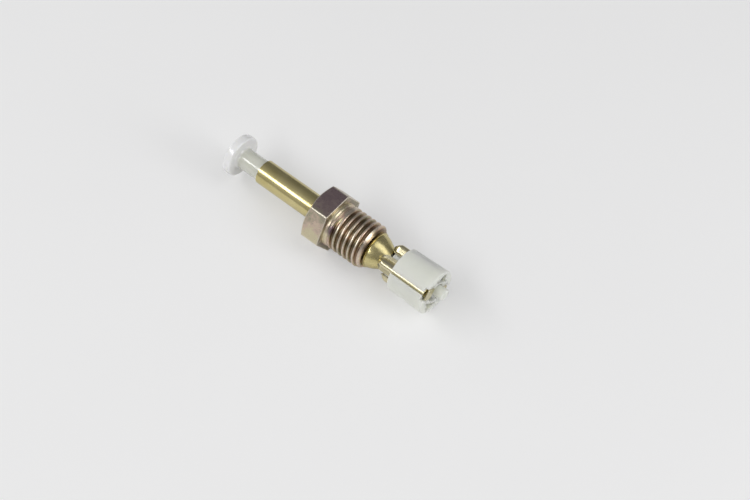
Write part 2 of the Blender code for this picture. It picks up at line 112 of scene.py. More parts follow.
def quads(rows, columns, first=0, ring=False):
    """Faces between rows of points that each close round, numbered from first; ring joins the last row
    to the first."""
    index = first + np.arange(rows * columns).reshape(rows, columns)
    if ring:
        index = np.vstack([index, index[:1]])
    beside = np.roll(index, -1, axis=1)
    return np.stack([index[:-1], beside[:-1], beside[1:], index[1:]], axis=-1).reshape(-1, 4).tolist()


def fan(loop, tip):
    """Triangles from a closed loop of point numbers to one tip."""
    return np.stack([loop, np.roll(loop, -1), np.full(len(loop), tip)], axis=-1).tolist()


def closed_mesh(name, points, faces):
    """Mesh of points and faces, with its faces turned outwards."""
    mesh = bpy.data.meshes.new(name)
    mesh.from_pydata(np.asarray(points).reshape(-1, 3).tolist(), [], faces)
    bm = bmesh.new()
    bm.from_mesh(mesh)
    bmesh.ops.recalc_face_normals(bm, faces=bm.faces)
    bm.to_mesh(mesh)
    bm.free()
    return mesh


def make_piece(mesh, material, body, node, sharp=35.0):
    """Finished piece of a mesh: round parts smooth, on its body, in place of its CAD node."""
    mesh.shade_smooth()
    mesh.set_sharp_from_angle(angle=math.radians(sharp))
    mesh.materials.clear()
    mesh.materials.append(material)
    piece = bpy.data.objects.new(mesh.name, mesh)
    bpy.context.scene.collection.objects.link(piece)
    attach(piece, body)
    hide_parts(node)
    return piece


def new_surface(name, metallic, roughness):
    """Material with a Principled shader and its node tree."""
    material = bpy.data.materials.new(name)
    material.use_nodes = True
    shader = material.node_tree.nodes["Principled BSDF"]
    shader.inputs["Metallic"].default_value = metallic
    shader.inputs["Roughness"].default_value = roughness
    return material, material.node_tree, shader


def add(tree, kind, settings=None, **inputs):
    """New node with its settings; each input is a value, or another node's output that is linked."""
    node = tree.nodes.new(f"ShaderNode{kind}")
    for key, value in (settings or {}).items():
        setattr(node, key, value)
    for key, value in inputs.items():
        socket = node.inputs[int(key[1:])] if key[0] == "i" and key[1:].isdigit() else node.inputs[key]
        if isinstance(value, bpy.types.NodeSocket):
            tree.links.new(value, socket)
        else:
            socket.default_value = value
    return node


def grain(tree, stretch, scale, detail=3.0, roughness=0.55):
    """Noise on Object coordinates, stretched by a factor along each axis; scale is in repeats a metre."""
    place = add(tree, "TexCoord").outputs["Object"]
    mapped = add(tree, "Mapping", Vector=place, Scale=stretch).outputs["Vector"]
    noise = add(tree, "TexNoise", Vector=mapped, Scale=scale, Detail=detail, Roughness=roughness)
    return noise.outputs["Fac"]


def step_at(tree, station, length):
    """0 before a station along the axis, 1 past it by length, and a straight rise between them."""
    place = add(tree, "SeparateXYZ", Vector=add(tree, "TexCoord").outputs["Object"]).outputs["X"]
    rise = add(tree, "MapRange", Value=place, i1=station, i2=station + length, i3=0.0, i4=1.0)
    return rise.outputs["Result"]


def times_plus(tree, value, factor, offset):
    """value * factor + offset; each of the three is a number or a node's output."""
    return add(tree, "Math", {"operation": "MULTIPLY_ADD"}, i0=value, i1=factor, i2=offset).outputs[0]


def ramp(tree, value, stops):
    """Colour ramp through (position, colour) stops."""
    node = add(tree, "ValToRGB", Fac=value)
    elements = node.color_ramp.elements
    while len(elements) < len(stops):
        elements.new(0.5)
    for element, (position, color) in zip(elements, stops):
        element.position = position
        element.color = (*color, 1.0)
    return node.outputs["Color"]


def spread(tree, value, low, high):
    """Map noise of 0.3 to 0.7 onto low to high."""
    return add(tree, "MapRange", Value=value, i1=0.3, i2=0.7, i3=low, i4=high).outputs["Result"]


def roughened(tree, shader, height, distance, strength=1.0):
    """Bump from a height between 0 and 1, distance deep."""
    bump = add(tree, "Bump", Height=height, Distance=distance, Strength=strength)
    tree.links.new(bump.outputs["Normal"], shader.inputs["Normal"])


def passivated_zinc():
    """Yellow passivated zinc: a film in soft patches, from straw where it is thin to purple-brown where it
    is thick, with pink and green fringes down the thread's flanks and painted shade darkening the groove
    roots. Edges and crests are lightened towards bright metal, partly rubbed wear and partly a painted
    highlight. The thickness it reads also carries painted light and shade, set flat by flat and in a patch
    beside the seat."""
    material, tree, shader = new_surface("yellow_passivated_zinc", 1.0, 0.3)
    patches = spread(tree, grain(tree, (1.0, 1.0, 1.0), 320, 8.0, 0.7), -0.32, 0.32)
    # Thickness read from the mesh, with painted light and shade set flat by flat in it.
    thickness_and_shade = add(tree, "Attribute", {"attribute_name": "film_and_shade"}).outputs["Fac"]
    thickness_and_shade = add(tree, "Math", {"operation": "ADD"}, i0=thickness_and_shade, i1=patches).outputs[0]
    tint = ramp(tree, thickness_and_shade, [(0.0, (0.76, 0.68, 0.47)), (0.25, (0.72, 0.565, 0.465)),
                              (0.5, (0.45, 0.42, 0.30)), (0.75, (0.42, 0.33, 0.31)),
                              (1.0, (0.32, 0.24, 0.25))])
    groove = add(tree, "Attribute", {"attribute_name": "groove"}).outputs["Fac"]
    # Painted shade: darker towards the groove roots, over the film's own pink and green fringes.
    groove_tint_and_shade = ramp(tree, groove, [(0.0, (1.0, 1.0, 1.0)), (0.15, (0.98, 0.84, 0.86)),
                                 (0.35, (0.76, 0.94, 0.70)), (0.6, (0.70, 0.56, 0.52)),
                                 (1.0, (0.33, 0.30, 0.24))])
    film_and_shade = add(tree, "Mix", {"data_type": "RGBA", "blend_type": "MULTIPLY"}, i0=1.0, i6=tint, i7=groove_tint_and_shade)
    edge = add(tree, "Attribute", {"attribute_name": "edge"}).outputs["Fac"]
    # Painted highlight, partly rubbed wear: edges and crests lighten towards bare metal.
    bare_and_highlit = (0.80, 0.74, 0.62, 1.0)
    rubbed_and_highlit = add(tree, "Mix", {"data_type": "RGBA"}, i0=edge, i6=film_and_shade.outputs[2], i7=bare_and_highlit)
    tree.links.new(rubbed_and_highlit.outputs[2], shader.inputs["Base Color"])
    fine = grain(tree, (1.0, 1.0, 1.0), 2600, 5.0)
    tree.links.new(spread(tree, fine, 0.24, 0.40), shader.inputs["Roughness"])
    roughened(tree, shader, fine, 0.02 * MM, 0.5)
    return material


def hex_outline():
    """Angles and radii round a hexagon with slightly rounded corners and points along its flats."""
    corner = HEX_FLAT / math.cos(math.pi / 6)
    turn = np.radians(np.arange(-60, 361, 60))
    outline = softened(np.stack([corner * np.cos(turn), corner * np.sin(turn)], -1), [0.24 * MM] * 6, 6)
    outline = outline[1:-1]
    steps = np.linspace(0, 1, 13)[:-1, None]
    filled = []
    for start, end in zip(outline, np.roll(outline, -1, axis=0)):
        long = np.linalg.norm(end - start) > 1.0 * MM
        filled.append(start + (end - start) * steps if long else start[None])
    outline = np.concatenate(filled)
    return np.arctan2(outline[:, 1], outline[:, 0]), np.hypot(outline[:, 0], outline[:, 1])


def bends(path):
    """1 where a path of points turns a corner, and 0 where it runs straight or ends."""
    step = np.diff(path, axis=0)
    step /= np.linalg.norm(step, axis=1, keepdims=True)
    turning = np.sum(step[1:] * step[:-1], axis=1) < math.cos(math.radians(3))
    return np.concatenate([[0.0], turning, [0.0]])


def hex_head():
    """Hex with one chamfered end, and how much each point lies on an edge. Every column runs out over the
    front face, down the chamfer cone to where it meets the hexagon, along the flat to the seat, and back
    in under the shank."""
    angles, radii = hex_outline()
    front = bush_low.x
    column = np.ones_like(radii)
    corners = np.stack([
        np.stack([x * column, r * column], -1) for x, r in (
            (SOCKET_X, BORE), (front + BORE_CHAMFER, BORE), (front, BORE + BORE_CHAMFER), (front, HEX_FACE),
            (front + (radii - HEX_FACE) * HEX_CHAMFER, radii), (SEAT_X, radii),
            (SEAT_X, SOCKET), (SOCKET_X, SOCKET))])
    path = softened(corners, [0.05 * MM, 0.08 * MM, 0.15 * MM, 0.12 * MM, 0.16 * MM, 0.0])
    loop = np.stack([radii * np.cos(angles), radii * np.sin(angles)], -1)
    vertex = bends(np.concatenate([loop[-1:], loop, loop[:1]]))[1:-1]
    on_side = path[:, 0, 1] > HEX_FACE
    edge = np.maximum(bends(path[:, 0])[:, None], on_side[:, None] * vertex) * on_side[:, None]
    return around(path[..., 0], path[..., 1], angles), edge


def thread_radius(x, angle):
    """Radius of the thread at a station and angle, and how deep in the groove that is, 0 to 1.

    The distance to the nearest groove is the station's remainder after the helix, x - pitch * turns.
    The groove's wall is an S curve of that distance, 1 / (1 + exp(distance)), so that crest and root are
    rounded, and it fades in over the first sixth of a turn. Before it the shank falls away from the seat
    as a shallow cone with two turned ridges, a sine along it. A 45 degree cone cuts the tip.
    """
    turns = (angle - THREAD_CREST_TURN) / (2 * math.pi)
    phase = (x - THREAD_CREST_X) / THREAD_PITCH - turns - 0.5
    number = np.round(phase)
    off = np.abs(phase - number) * 2
    wall = 1 / (1 + np.exp((off - 0.5) / 0.085))
    fade = np.clip((number + 0.5 + turns - THREAD_FIRST_TURN) / 0.16, 0, 1)
    depth = wall * fade * fade * (3 - 2 * fade)
    relief = np.interp(x, SEAT_X + THREAD_PITCH * np.array([0, 0.1, 1.0, 1.2]), [0, 0, 0.62, 0])
    relief += RIDGE * np.minimum(relief, 0.3) * np.sin(4 * math.pi * (x - SEAT_X) / THREAD_PITCH) / 0.3
    thread = THREAD_RADIUS - THREAD_DEPTH * np.maximum(depth, relief)
    tip = THREAD_RADIUS - (x - (bush_high.x - THREAD_TIP))
    blend = 0.08 * MM
    share = np.clip(0.5 + 0.5 * (tip - thread) / blend, 0, 1)
    radius = tip + (thread - tip) * share - blend * share * (1 - share)
    return radius, depth


def threaded_shank():
    """Thread on a grid of stations by angles, closed through the end face, countersink and bore."""
    angles = np.linspace(0, 2 * math.pi, 193)[:-1]
    stations = np.linspace(SHANK_X, bush_high.x, 262)[:, None]
    radii, depth = thread_radius(stations, angles)
    inside = softened([(bush_high.x, 5.0 * MM), (bush_high.x, BORE + COUNTERSINK),
                       (bush_high.x - COUNTERSINK, BORE), (SHANK_X, BORE)], [0.06 * MM, 0.06 * MM])[1:]
    points = np.concatenate([around(stations, radii, angles),
                             around(inside[:, :1], inside[:, 1:], angles)])
    depth = np.concatenate([depth, np.zeros((len(inside), len(angles)))])
    return points, depth


# Thickness of the film, 0 to 1: one for each flat with a slope down it, and on the shank thin at both
# ends. The numbers paint light and shade as well: the top flat's thick, dark film is painted shade,
# the flat below it on the near side has a thin, straw film as painted light, and a dark patch beside the
# seat is painted shade. The patch's place is in degrees and in mm from the seat.
FLAT_FILM_AND_SHADE = np.array([0.4, 0.90, 0.24, 0.5, 0.3, 0.6])
FLAT_SLOPE = np.array([0.1, 0.38, 0.7, 0.1, 0.1, 0.1])
SHADE_PATCH_TURN, SHADE_PATCH_WIDTH = 141, 14
SHADE_PATCH_PLACE, SHADE_PATCH_LENGTH = 1.4, 0.65
head, edge = hex_head()
shank, groove = threaded_shank()
turn = np.arctan2(head[..., 2] - AXIS_Z, head[..., 1]) / (math.pi / 3) - 0.5
flat = np.round(turn).astype(int)
film_and_shade = FLAT_FILM_AND_SHADE[flat % 6]
film_and_shade -= FLAT_SLOPE[flat % 6] * (turn - flat)
film_and_shade[head[..., 0] > SEAT_X - 0.02 * MM] = 0.5
from_seat = (shank[..., 0] - SEAT_X) / MM
shank_turn = np.degrees(np.arctan2(shank[..., 2] - AXIS_Z, shank[..., 1]))
shank_film_and_shade = np.interp(from_seat, [0, 1.0, 1.4, 2.0, 8.5, 10.0], [0.0, 0.12, 0.28, 0.38, 0.38, 0.15])
# Painted shade: a dark patch on the near side of the shank beside the seat.
shank_film_and_shade += 1.1 * np.exp(-((shank_turn - SHADE_PATCH_TURN) / SHADE_PATCH_WIDTH) ** 2
                           - ((from_seat - SHADE_PATCH_PLACE) / SHADE_PATCH_LENGTH) ** 2)
# Painted highlight, partly wear: the thread's crests take part of the edge brightening.
crest = (groove < 0.04) * (from_seat > 2.0)
faces = quads(*head.shape[:2], ring=True)
faces += quads(*shank.shape[:2], first=head[..., 0].size, ring=True)
points = np.concatenate([head.reshape(-1, 3), shank.reshape(-1, 3)])
bush_mesh = closed_mesh("threaded_bush_plated", points, faces)
for label, on_head, on_shank in (("groove", 0 * edge, groove), ("edge", 0.75 * edge, 0.4 * crest),
                                 ("film_and_shade", film_and_shade, shank_film_and_shade)):
    layer = bush_mesh.attributes.new(label, "FLOAT", "POINT")
    layer.data.foreach_set("value", np.concatenate([on_head.ravel(), on_shank.ravel()]))
make_piece(bush_mesh, passivated_zinc(), "bush", "threaded_bush")

# Barrel: thin brass tube, drawn, cut square at the plunger's end, flared to a lip behind the bush and
# rolled in over the connector's collar as a cone. It slides in the bush with a tight hand fit.
barrel_low, barrel_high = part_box("barrel")
WALL = 0.3 * MM
TUBE = 3.2 * MM
LIP = (barrel_high.z - barrel_low.z) / 2
CONE_LENGTH = 4.5 * MM
CONE_MOUTH = 2.7 * MM
LIP_X = barrel_high.x - CONE_LENGTH
FLARE_X = LIP_X - 0.75 * MM


def drawn_brass(name, color, low, high, marks, rolled=1.0):
    """Brass with fine lengthwise draw marks in its tint, gloss and surface. From the station rolled on it
    is duller and slightly uneven from being worked."""
    material, tree, shader = new_surface(name, 1.0, low)
    drawn = grain(tree, (0.04, 1.0, 1.0), marks, 4.0)
    patch = grain(tree, (0.5, 1.0, 1.0), 420, 3.0)
    dull = tuple(c * s for c, s in zip(color, (0.80, 0.78, 0.66)))
    worn = times_plus(tree, patch, 0.6, times_plus(tree, drawn, 0.4, 0.3))
    tree.links.new(ramp(tree, worn, [(0.62, color), (0.95, dull)]), shader.inputs["Base Color"])
    worked = grain(tree, (1.0, 1.0, 1.0), 900, 2.0)
    uneven = times_plus(tree, step_at(tree, rolled, 0.4 * MM), worked, 0.0)
    gloss = times_plus(tree, uneven, 0.14, spread(tree, drawn, low, high))
    tree.links.new(gloss, shader.inputs["Roughness"])
    roughened(tree, shader, times_plus(tree, uneven, 6.0, drawn), 0.01 * MM, 0.5)
    return material


def barrel_outside():
    """Outside of the barrel from mouth to rolled end: tube, flare, lip, and a cone whose radius falls
    in a straight line with a shallow S, fall = share - 0.05 sin(2 pi share)."""
    share = np.linspace(0, 1, 33)
    fall = share - 0.05 * np.sin(2 * math.pi * share)
    cone = np.stack([LIP_X + CONE_LENGTH * share, LIP + (CONE_MOUTH - LIP) * fall], -1)
    tube = [(barrel_low.x, TUBE), (FLARE_X, TUBE), (LIP_X - 0.3 * MM, LIP - 0.15 * MM)]
    rounded = softened(tube + [cone[0], cone[3]], [0.12 * MM, 0.16 * MM, 0.14 * MM])
    return np.concatenate([rounded[:-1], cone[3:]])


def inward(path, depth):
    """Path moved towards the axis by the wall: each point steps square to the path's direction."""
    step = np.gradient(path, axis=0)
    step /= np.linalg.norm(step, axis=1, keepdims=True)
    return path + depth * np.stack([step[:, 1], -step[:, 0]], -1)


brass = drawn_brass("drawn_brass", (0.75, 0.66, 0.35), 0.16, 0.26, 2600, LIP_X)
outside = barrel_outside()
barrel_path = np.concatenate([outside, inward(outside, WALL)[::-1]])
barrel_grid = around(barrel_path[:, :1], barrel_path[:, 1:], np.linspace(0, 2 * math.pi, 145)[:-1])
barrel_mesh = closed_mesh("barrel_tube", barrel_grid, quads(*barrel_grid.shape[:2], ring=True))
make_piece(barrel_mesh, brass, "barrel", "barrel")

# Plunger: one natural nylon moulding, a button head on a round stem. The stem runs in the barrel and
# holds the pull rod in a blind hole. Milky, and light soaks a millimetre or so into it.
plunger_low, plunger_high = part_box("plunger")
HEAD = (plunger_high.z - plunger_low.z) / 2
HEAD_THICKNESS = 2.2 * MM
CROWN = 0.25 * MM
STEM = 2.7 * MM
ROD_HOLE = 0.82 * MM
ROD_HOLE_END = plunger_high.x - 4.1 * MM


def natural_nylon(name, color, gloss, reach, skin_gloss=0.0, slender=1.0):
    """Milky nylon: light soaks in by reach and scatters, under a skin with a faint mould texture whose
    roughness varies a little round gloss. A polished mould leaves a second, sharper shine, skin_gloss.
    From the station slender on the colour is greyed: painted shade for the thinner stem, which passes more
    of the light through."""
    material, tree, shader = new_surface(name, 0.0, gloss)
    cloud = grain(tree, (1.0, 1.0, 1.0), 260, 3.0)
    tint = ramp(tree, cloud, [(0.3, tuple(0.97 * c for c in color)), (0.7, color)])
    # Painted shade: the stem's colour greys past the head.
    thin = step_at(tree, slender + 0.2 * MM, 0.6 * MM)
    painted_shade_grey = (0.70, 0.705, 0.63, 1.0)
    grey = add(tree, "Mix", {"data_type": "RGBA"}, i0=thin, i6=tint, i7=painted_shade_grey)
    tree.links.new(grey.outputs[2], shader.inputs["Base Color"])
    skin = grain(tree, (1.0, 1.0, 1.0), 2200, 4.0)
    tree.links.new(spread(tree, skin, gloss - 0.05, gloss + 0.07), shader.inputs["Roughness"])
    shader.inputs["Subsurface Weight"].default_value = 1.0
    shader.inputs["Subsurface Radius"].default_value = (1.0, 1.0, 0.95)
    shader.inputs["Subsurface Scale"].default_value = reach
    shader.inputs["IOR"].default_value = 1.53
    shader.inputs["Coat Weight"].default_value = skin_gloss
    shader.inputs["Coat Roughness"].default_value = 0.06
    shader.inputs["Coat IOR"].default_value = 1.75
    roughened(tree, shader, skin, 0.012 * MM, 0.25)
    return material


def plunger_path():
    """Half outline of the plunger from the crown's middle to the bottom of the rod's hole."""
    head_x = plunger_low.x + CROWN
    under = head_x + HEAD_THICKNESS
    share = np.linspace(0, 1, 9)
    crown = np.stack([plunger_low.x + CROWN * share ** 2, (HEAD - 0.7 * MM) * share], -1)
    corners = [crown[-1], (head_x + 0.03 * MM, HEAD), (under, HEAD - 0.03 * MM), (under, STEM),
               (plunger_high.x, STEM), (plunger_high.x, ROD_HOLE), (ROD_HOLE_END, ROD_HOLE),
               (ROD_HOLE_END, 0)]
    rounded = softened(corners, [0.42 * MM, 0.42 * MM, 0.7 * MM, 0.2 * MM, 0.05 * MM, 0.0], 6)
    return np.concatenate([crown[:-1], rounded])


def turned_mesh(name, path, columns=128):
    """Closed body from a path that starts and ends on the axis: rings round it, and a tip at each end."""
    grid = around(path[1:-1, :1], path[1:-1, 1:], np.linspace(0, 2 * math.pi, columns + 1)[:-1])
    rows = len(grid)
    tips = [(path[0, 0], 0, AXIS_Z), (path[-1, 0], 0, AXIS_Z)]
    faces = quads(rows, columns) + fan(np.arange(columns), rows * columns)
    faces += fan(np.arange(columns) + (rows - 1) * columns, rows * columns + 1)
    return closed_mesh(name, np.concatenate([grid.reshape(-1, 3), tips]), faces)


pin_nylon = natural_nylon("pin_nylon", (0.995, 0.995, 0.94), 0.13, 0.001, 0.6,
                          plunger_low.x + CROWN + HEAD_THICKNESS)
make_piece(turned_mesh("plunger_moulding", plunger_path()), pin_nylon, "plunger", "plunger")

# Connector body: one nylon moulding. Its collar is held in the barrel's cone, a short neck joins it to
# a square core, and the round body behind has a tunnel for each contact strip. Two of the tunnels open
# along the body in a narrow mouth, and in a window at its back.
body_low, body_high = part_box("connector_body")
STRIP_TURN = math.radians(180 - 42.5)
BODY_X = body_high.x - 10.45 * MM
CORE_X = BODY_X - 2.35 * MM
BODY_BACK = (body_high.z - body_low.z) / 2
BODY_FRONT = BODY_BACK - 0.3 * MM
CAVITY_X = BODY_X + 0.95 * MM
CAVITY = 2.55 * MM
ROD_BORE = 0.9 * MM
COLLAR_FRONT = 3.75 * MM
COLLAR_BACK = 2.9 * MM
COLLAR_LENGTH = 1.4 * MM
NECK = 1.6 * MM
CORE = 3.6 * MM
SLOT_FLOOR = 2.85 * MM
SLOT_ROOF = 3.5 * MM
SLOT_HALF = 2.4 * MM
TUNNEL_HALF = 1.32 * MM
TUNNEL_HEIGHT = 1.75 * MM
MOUTH_HALF = 0.58 * MM
MOUTH_LOW = 0.40 * MM                     # the same for the lip on the far side
MOUTH_EDGE = 0.1 * MM
WINDOW_X = body_high.x - 0.85 * MM
WINDOW_HALF = 1.7 * MM


def connector_path():
    """Half outline of the moulding before it is cut: bore, collar, neck, core, body and cavity."""
    collar_x, neck_x = body_low.x, body_low.x + COLLAR_LENGTH
    corners = [(collar_x, ROD_BORE), (collar_x, COLLAR_FRONT), (neck_x, COLLAR_BACK), (neck_x, NECK),
               (CORE_X, NECK), (CORE_X, CORE), (BODY_X, CORE), (BODY_X, BODY_FRONT),
               (body_high.x, BODY_BACK), (body_high.x, CAVITY), (CAVITY_X, CAVITY), (CAVITY_X, ROD_BORE)]
    corners = [(collar_x + 3 * MM, ROD_BORE), *corners, (collar_x + 3 * MM, ROD_BORE)]
    cuts = [0.05, 0.1, 0.1, 0.1, 0.2, 0.15, 0.12, 0.35, 0.35, 0.08, 0.2, 0.05]
    return softened(corners, [cut * MM for cut in cuts], 6)[:-1]


def set_out(across, out, turn):
    """Y and Z of points given across a strip's place and out from the axis, turned to that place."""
    return np.stack([out * np.cos(turn) + across * np.sin(turn),
                     AXIS_Z + out * np.sin(turn) - across * np.cos(turn)], -1)


def along(name, stations, across, out, turn):
    """Closed bar through outlines along the axis: one row of points across and out for each station."""
    stations = np.broadcast_to(np.asarray(stations)[:, None], across.shape)
    points = np.concatenate([stations[..., None], set_out(across, out, turn)], -1)
    rows, columns = across.shape
    ends = [list(range(columns)), list(range((rows - 1) * columns, rows * columns))]
    return closed_mesh(name, points, quads(rows, columns) + ends)


def mirrored(half):
    """Whole outline from its right half, (across, out) points that run from the bottom to the top."""
    return np.concatenate([half, half[::-1] * (-1, 1)])


def tunnel_cutter(turn, mouth):
    """Room for a strip: flange slot, and over it half an ellipse for the rib, across = w cos(t) and
    out = roof + h sin(t). A mouth cuts the ellipse off and runs out to a rounded edge on the body. One of
    its lips stands further in than the other."""
    start, end = CORE_X - 0.3 * MM, body_high.x + 0.3 * MM
    slot = softened([(0.0, SLOT_FLOOR), (SLOT_HALF, SLOT_FLOOR), (SLOT_HALF, SLOT_ROOF),
                     (TUNNEL_HALF, SLOT_ROOF)], [0.06 * MM] * 2)[1:]
    outlines = []
    for x in (start, end):
        radius = BODY_FRONT + (BODY_BACK - BODY_FRONT) * (x - BODY_X) / (body_high.x - BODY_X)
        halves = []
        for reach in (MOUTH_HALF, MOUTH_LOW) if mouth else (0.0, 0.0):
            t = np.linspace(0, math.acos(reach / TUNNEL_HALF), 14)[1:]
            half = np.stack([TUNNEL_HALF * np.cos(t), SLOT_ROOF + TUNNEL_HEIGHT * np.sin(t)], -1)
            if mouth:
                t = np.linspace(0, math.pi / 2, 7)
                skin = math.sqrt(radius ** 2 - (reach + MOUTH_EDGE) ** 2)
                lip = np.stack([reach + MOUTH_EDGE * (1 - np.cos(t)),
                                skin - MOUTH_EDGE * (1 - np.sin(t))], -1)
                half = np.concatenate([half, lip, [(reach + MOUTH_EDGE, skin + 2 * MM)]])
            halves.append(np.concatenate([slot, half if mouth else half[:-1]]))
        outlines.append(np.concatenate([halves[0], halves[1][::-1] * (-1, 1)]))
    outline = np.stack(outlines)
    return along("tunnel", [start, end], outline[..., 0], outline[..., 1], turn)


def window_cutter(turn):
    """Block that opens a tunnel's back end from the cavity to the outside."""
    outline = mirrored(np.array([(WINDOW_HALF, 1.7 * MM), (WINDOW_HALF, 9 * MM)]))
    outline = np.stack([outline, outline])
    return along("window", [WINDOW_X, body_high.x + 0.4 * MM], outline[..., 0], outline[..., 1], turn)


def combined(name, mesh, operation, others):
    """Mesh with others joined to it or cut from it, each by an exact Boolean, under a name."""
    shape, *tools = [bpy.data.objects.new(part.name, part) for part in (mesh, *others)]
    for item in (shape, *tools):
        bpy.context.scene.collection.objects.link(item)
    for tool in tools:
        step = shape.modifiers.new(tool.name, "BOOLEAN")
        step.operation = operation
        step.object = tool
        step.solver = "EXACT"
    result = bpy.data.meshes.new_from_object(shape.evaluated_get(bpy.context.evaluated_depsgraph_get()))
    for item in (shape, *tools):
        bpy.data.objects.remove(item)
    result.name = name
    return result


turns = [STRIP_TURN - k * math.pi / 2 for k in range(4)]
grid_path = connector_path()
moulding_grid = around(grid_path[:, :1], grid_path[:, 1:], np.linspace(0, 2 * math.pi, 193)[:-1])
moulding = closed_mesh("moulding_turned", moulding_grid, quads(*moulding_grid.shape[:2], ring=True))
cutters = [tunnel_cutter(turn, k % 2 == 0) for k, turn in enumerate(turns)]
cutters += [window_cutter(turn) for turn in turns[::2]]
nylon = natural_nylon("connector_nylon", (0.82, 0.835, 0.755), 0.52, 0.0022)
connector_mesh = combined("connector_moulding", moulding, "DIFFERENCE", cutters)
make_piece(connector_mesh, nylon, "barrel", "connector_body")

# Contact strips: four of pressed brass, with a hollow rib along the middle, a flat flange on each side
# and a nose turned out and rounded off. Each is pushed into its tunnel from behind. Every second one has
# a flat web behind its rib, a foot across the end of the tunnel and a tongue into the cavity.
STRIP = 3.3 * MM
STRIP_THICKNESS = 0.25 * MM
STRIP_HALF = 2.2 * MM
RIB_HEIGHT = 1.75 * MM
RIB_CREST = 0.95 * MM
RIB_SIDE = math.radians(72)
NOSE = 1.6 * MM
NOSE_HALF = 0.5 * MM
NOSE_LIFT = 0.75 * MM
FOOT_X = body_high.x - STRIP_THICKNESS
FOOT_HALF = 1.5 * MM
FOOT_TOP = 4.6 * MM
TONGUE_HALF = 0.6 * MM
TONGUE_FRONT = 12.4 * MM                  # from the nose's tip
TONGUE = 1.9 * MM


def strip_section(share, rib):
    """Outer and inner edge of a strip's section, for each share of its width and of its rib's height.

    The flange runs flat to the rib's foot. The rib's sides lean in at RIB_SIDE and join an arc of radius r
    at the crest: rise = height - r + sqrt(r^2 - across^2). The nose lifts as its share falls.
    """
    share, rib = np.asarray(share)[:, None], np.asarray(rib)[:, None]
    width = NOSE_HALF + (STRIP_HALF - NOSE_HALF) * share
    level = STRIP + NOSE_LIFT * (1 - share)
    sides = []
    for crest, lift in ((RIB_CREST, 0.0), (RIB_CREST - STRIP_THICKNESS, -STRIP_THICKNESS)):
        bend = np.linspace(-RIB_SIDE, RIB_SIDE, 21)
        arc, top = crest * np.sin(bend), RIB_HEIGHT - crest * (1 - np.cos(bend))
        foot = arc[-1] + top[-1] / math.tan(RIB_SIDE)
        arc, top = np.array([-foot, *arc, foot]), np.array([0, *top, 0])
        flange = width + (foot * share + 0.01 * MM - width) * np.linspace(0, 1, 5)
        across = np.concatenate([-flange, arc * share, flange[:, ::-1]], axis=1)
        out = np.concatenate([0 * flange, top * rib, 0 * flange], axis=1) + level + lift
        sides.append(np.stack([across, out], -1))
    return sides


def strip_mesh(node, turn, footed):
    """One strip along its CAD node; its nose is a quarter ellipse in plan."""
    low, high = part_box(node)
    bend = np.linspace(0, math.pi / 2, 15)
    stations = low.x + NOSE * (1 - np.cos(bend))
    share = np.maximum(np.sin(bend), 0.05)
    rib = share ** 1.5
    if footed:
        tail = [WINDOW_X - 0.06 * MM, WINDOW_X, WINDOW_X + 0.12 * MM, WINDOW_X + 0.2 * MM,
                FOOT_X + STRIP_THICKNESS / 2]
        rib_tail = [1.0, 0.95, 0.1, 0.0, 0.0]
    else:
        tail, rib_tail = [high.x], [1.0]
    stations = np.concatenate([stations, tail])
    share = np.concatenate([share, np.ones(len(tail))])
    rib = np.concatenate([rib, rib_tail])
    outer, inner = strip_section(share, rib)
    section = np.concatenate([outer, inner[:, ::-1]], axis=1)
    across, out = section[..., 0], section[..., 1]
    points = np.concatenate([np.broadcast_to(stations[:, None], across.shape)[..., None],
                             set_out(across, out, turn)], -1)
    rows, columns = across.shape
    faces = quads(rows, columns)
    half = columns // 2
    for first in (0, (rows - 1) * columns):
        side = first + np.arange(half)
        other = first + columns - 1 - np.arange(half)
        faces += np.stack([side[:-1], side[1:], other[1:], other[:-1]], -1).tolist()
    name = f"{node}_pressed"
    if not footed:
        return closed_mesh(name, points, faces)
    strip = closed_mesh("strip", points, faces)
    parts = [plate("foot", (FOOT_X, body_high.x), FOOT_HALF, (TONGUE, FOOT_TOP), turn),
             plate("tongue", (low.x + TONGUE_FRONT, FOOT_X + STRIP_THICKNESS / 2), TONGUE_HALF,
                   (TONGUE, TONGUE + STRIP_THICKNESS), turn)]
    return combined(name, strip, "UNION", parts)


def plate(name, span, half, reach, turn):
    """Flat plate with rounded corners and slightly broken edges, through four outlines along the axis."""
    corners = [(0, reach[0]), (half, reach[0]), (half, reach[1]), (0, reach[1])]
    cut = 0.3 * min(half, reach[1] - reach[0])
    outline = mirrored(softened(corners, [cut, cut], 4)[1:-1])
    centre = np.array([0.0, sum(reach) / 2])
    size = np.array([half, (reach[1] - reach[0]) / 2])
    broken = 0.04 * MM
    small = centre + (outline - centre) * (1 - broken / size)
    rows = np.stack([small, outline, outline, small])
    stations = [span[0], span[0] + broken, span[1] - broken, span[1]]
    return along(name, stations, rows[..., 0], rows[..., 1], turn)


strip_brass = drawn_brass("pressed_strip_brass", (0.80, 0.74, 0.53), 0.20, 0.31, 3000)
for k, turn in enumerate(turns):
    node = f"contact_strip_{k + 1}"
    make_piece(strip_mesh(node, turn, k % 2 == 0), strip_brass, "barrel", node)

# End cap: a nylon plug pressed into the cavity's back, with an off-centre peg, a notch at its edge and
# room for the two tongues.
cap_low, cap_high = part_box("end_cap")
CAP_RADIUS = CAVITY - 0.12 * MM
CAP_BACK = cap_low.x + 1.1 * MM
PEG = 1.5 * MM
PEG_SHIFT = 0.8 * MM
NOTCH_TURN = math.radians(180 + 34)
NOTCH_HALF = 1.25 * MM
NOTCH_DEPTH = 1.1 * MM
ROOM_HALF = 0.72 * MM
ROOM_FLOOR = 1.78 * MM
PAST_RIM = 4 * MM


